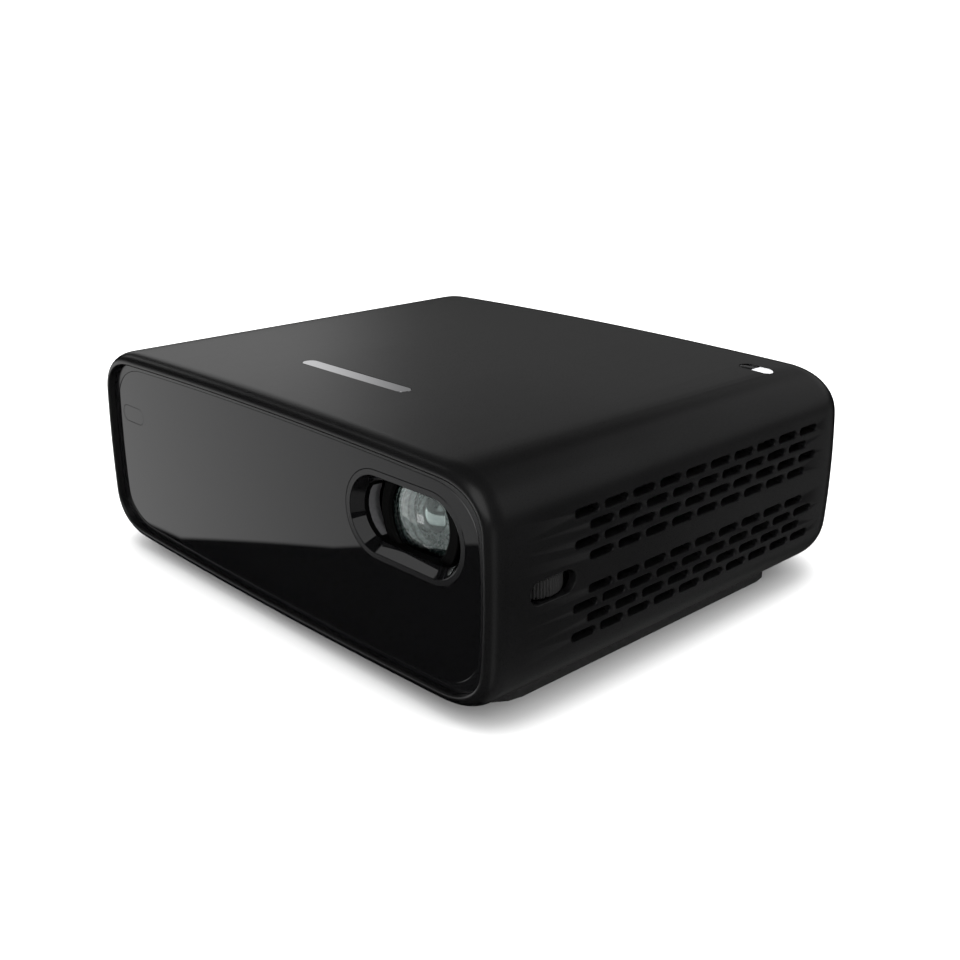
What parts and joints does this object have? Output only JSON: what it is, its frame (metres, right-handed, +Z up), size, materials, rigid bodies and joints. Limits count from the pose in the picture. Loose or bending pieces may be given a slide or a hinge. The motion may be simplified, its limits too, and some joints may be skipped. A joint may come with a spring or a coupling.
{
  "type": "pocket home projector",
  "caption": "Palm-size home projector: rounded soft-touch sleeve, gloss front with a recessed lens, vents in both sides, a focus wheel in one side and a base pad with a tripod socket.",
  "frame": {"origin": "bottom centre of the overall box, on the surface the base pad stands on", "axes": "+X to the side with the focus wheel, -Y the way the lens looks, +Z up"},
  "size_m": [0.115, 0.098, 0.0424],
  "materials": {
    "soft_black": "soft-touch coating, fine matt",
    "gloss_black": "piano black, mirror polish",
    "frame_grey": "satin dark grey",
    "moulded_black": "fine moulded texture",
    "silver": "polished",
    "steel": "plated",
    "brass": "machined",
    "copper": "copper, satin",
    "aluminium": "extruded, satin",
    "engine_alloy": "die cast, dark",
    "board_green": "solder mask",
    "ceramic": "ceramic package",
    "rubber": "matt",
    "glass": "coated optical glass",
    "battery_wrap": "shrink film",
    "flex": "amber polyimide film",
    "led_red": "clear dome on a board",
    "led_green": "clear dome on a board",
    "led_blue": "clear dome on a board"
  },
  "bodies": {
    "casing": {"antenna": "board_green", "audio_jack": "moulded_black", "base_pad": "rubber", "battery_pack": "battery_wrap", "chassis": "moulded_black", "collimator_blue": "glass", "collimator_green": "glass", "collimator_red": "glass", "dichroic_plate_1": "glass", "dichroic_plate_2": "glass", "dmd_board": "board_green", "dmd_chip": "ceramic", "dmd_ribbon": "flex", "engine_housing": "engine_alloy", "engine_lid": "engine_alloy", "fan_housing": "moulded_black", "front_frame": "frame_grey", "front_panel": "gloss_black", "hdmi_port": "steel", "heat_pipe": "copper", "heat_sink": "aluminium", "housing_screw_1": "steel", "housing_screw_2": "steel", "housing_screw_3": "steel", "housing_screw_4": "steel", "integrator_lens": "glass", "ir_receiver": "moulded_black", "ir_window": "gloss_black", "key_board": "board_green", "key_switch": "steel", "led_blue": "led_blue", "led_green": "led_green", "led_red": "led_red", "lens_barrel": "moulded_black", "lens_surround": "gloss_black", "main_board": "board_green", "outer_sleeve": "soft_black", "prism_block": "glass", "rear_lens": "glass", "rear_panel": "moulded_black", "speaker_left": "moulded_black", "speaker_right": "moulded_black", "top_badge": "silver", "tripod_insert": "brass", "usb_a_port": "steel", "usb_c_port": "steel", "wheel_axle": "steel", "wheel_bracket": "moulded_black"},
    "focus_wheel": {"focus_wheel": "moulded_black"},
    "focus_group": {"focus_sleeve": "moulded_black", "front_lens": "glass", "middle_lens": "glass"},
    "fan_rotor": {"fan_rotor": "moulded_black"},
    "power_key": {"power_key": "silver"}
  },
  "joints": [
    {"name": "focus_turn", "type": "hinge", "parent": "casing", "child": "focus_wheel", "pos_m": [0.0512, -0.0362, 0.0219], "axis": [0, 0, 1], "range_deg": [-52.6, 4.8]},
    {"name": "focus_slide", "type": "slide", "parent": "casing", "child": "focus_group", "axis": [0, 1, 0], "range_m": [-0.0002, 0.0022]},
    {"name": "fan_spin", "type": "hinge", "parent": "casing", "child": "fan_rotor", "pos_m": [-0.0477, -0.0135, 0.0219], "axis": [1, 0, 0], "continuous": true},
    {"name": "power_press", "type": "slide", "parent": "casing", "child": "power_key", "axis": [0, 0, -1], "range_m": [0, 0.0004], "stiffness_N_per_m": 2500}
  ],
  "couplings": [
    {"joint": "focus_turn", "follows": "focus_slide", "rad_per_m": -416.67}
  ]
}
